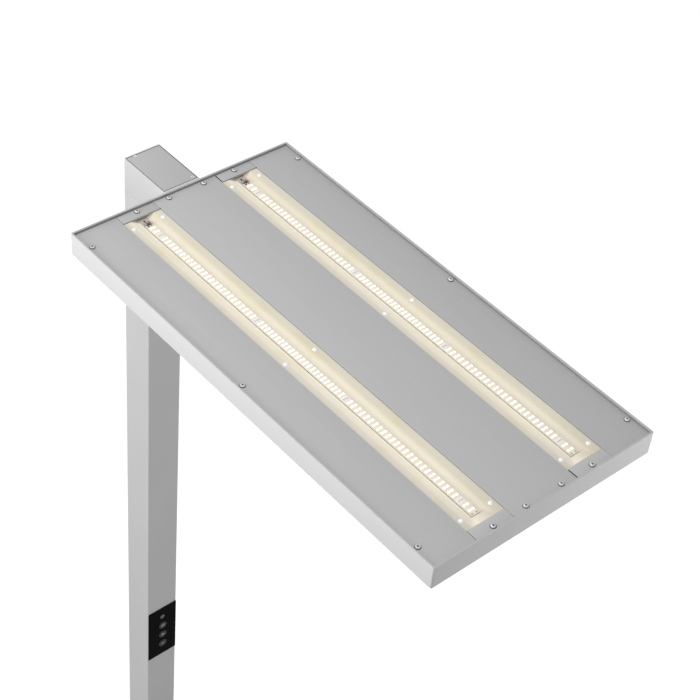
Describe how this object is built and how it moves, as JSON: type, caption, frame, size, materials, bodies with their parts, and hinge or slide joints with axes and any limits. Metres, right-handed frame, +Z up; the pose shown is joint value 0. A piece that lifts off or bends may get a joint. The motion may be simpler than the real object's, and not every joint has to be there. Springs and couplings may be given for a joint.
{
  "type": "office floor lamp",
  "caption": "Free-standing office floor lamp: slim rectangular head with upward light channels on a square post, flat foot plate, press-button control panel.",
  "frame": {"origin": "on the floor below the post's axis", "axes": "+Z up along the post; +X from the post towards the front of the head; +Y across the head"},
  "size_m": [0.759, 0.3204, 1.95],
  "materials": {
    "silver_frame": "satin silver-grey powder coat",
    "silver_sheet": "matt silver-grey powder coat",
    "silver_post": "satin silver-grey powder coat",
    "plain_aluminium": "mill finish",
    "base_steel": "textured silver-grey powder coat",
    "zinc_steel": "zinc plated",
    "screw_steel": "bright nickel plated",
    "black_rubber": "matt",
    "black_plastic": "fine satin",
    "button_plastic": "satin",
    "white_plastic": "satin",
    "nylon": "natural white",
    "film": "white reflector film lit warm",
    "board_white": "white solder mask",
    "board_green": "green solder mask",
    "led": "lit light source",
    "acrylic": "clear",
    "opal": "opal, fine prisms",
    "cable_grey": "sheath",
    "cable_dark": "sheath",
    "lead_wires": "red and black insulation",
    "tinted_window": "dark tinted"
  },
  "bodies": {
    "lamp": {"base_plate": "base_steel", "base_pads": "black_rubber", "centre_pad": "black_rubber", "foot_block": "plain_aluminium", "foot_bolts": "zinc_steel", "post": "silver_post", "post_foot_screws": "zinc_steel", "cord_gland": "black_plastic", "gland_nut": "black_plastic", "driver_rail": "plain_aluminium", "direct_driver": "white_plastic", "indirect_driver": "white_plastic", "driver_screws": "zinc_steel", "mains_cable": "cable_dark", "head_cable": "cable_grey", "control_cable": "cable_dark", "control_housing": "black_plastic", "control_fascia": "black_plastic", "control_board": "board_green", "tact_switches": "black_plastic", "sensor_window": "tinted_window", "arm_housing": "silver_post", "arm_core": "plain_aluminium", "arm_cap": "silver_sheet", "cap_screws": "screw_steel", "grub_screws": "zinc_steel", "spigot_screws": "zinc_steel", "presence_sensor": "white_plastic", "head_bracket": "zinc_steel", "bracket_screws": "zinc_steel", "head_frame": "silver_frame", "light_pan": "plain_aluminium", "backing_sheet": "white_plastic", "light_guide": "acrylic", "diffuser": "opal", "edge_strip_left": "board_white", "edge_strip_right": "board_white", "terminal_block": "white_plastic", "led_tray_left": "silver_sheet", "led_tray_right": "silver_sheet", "led_board_left": "board_white", "led_board_right": "board_white", "leds_left": "led", "leds_right": "led", "reflector_left": "film", "reflector_right": "film", "reflector_rivets": "nylon", "connectors": "white_plastic", "leads_left": "lead_wires", "leads_right": "lead_wires", "outer_panel_left": "silver_sheet", "outer_panel_right": "silver_sheet", "centre_panel": "silver_sheet", "panel_screws": "screw_steel"},
    "button_power_body": {"button_power": "button_plastic"},
    "button_brighter_body": {"button_brighter": "button_plastic"},
    "button_dimmer_body": {"button_dimmer": "button_plastic"}
  },
  "joints": [
    {"name": "power_press", "type": "slide", "parent": "lamp", "child": "button_power_body", "axis": [-1, 0, 0], "range_m": [0, 0.0008], "stiffness_N_per_m": 1500, "springref_m": -0.0006},
    {"name": "brighter_press", "type": "slide", "parent": "lamp", "child": "button_brighter_body", "axis": [-1, 0, 0], "range_m": [0, 0.0008], "stiffness_N_per_m": 1500, "springref_m": -0.0006},
    {"name": "dimmer_press", "type": "slide", "parent": "lamp", "child": "button_dimmer_body", "axis": [-1, 0, 0], "range_m": [0, 0.0008], "stiffness_N_per_m": 1500, "springref_m": -0.0006}
  ]
}
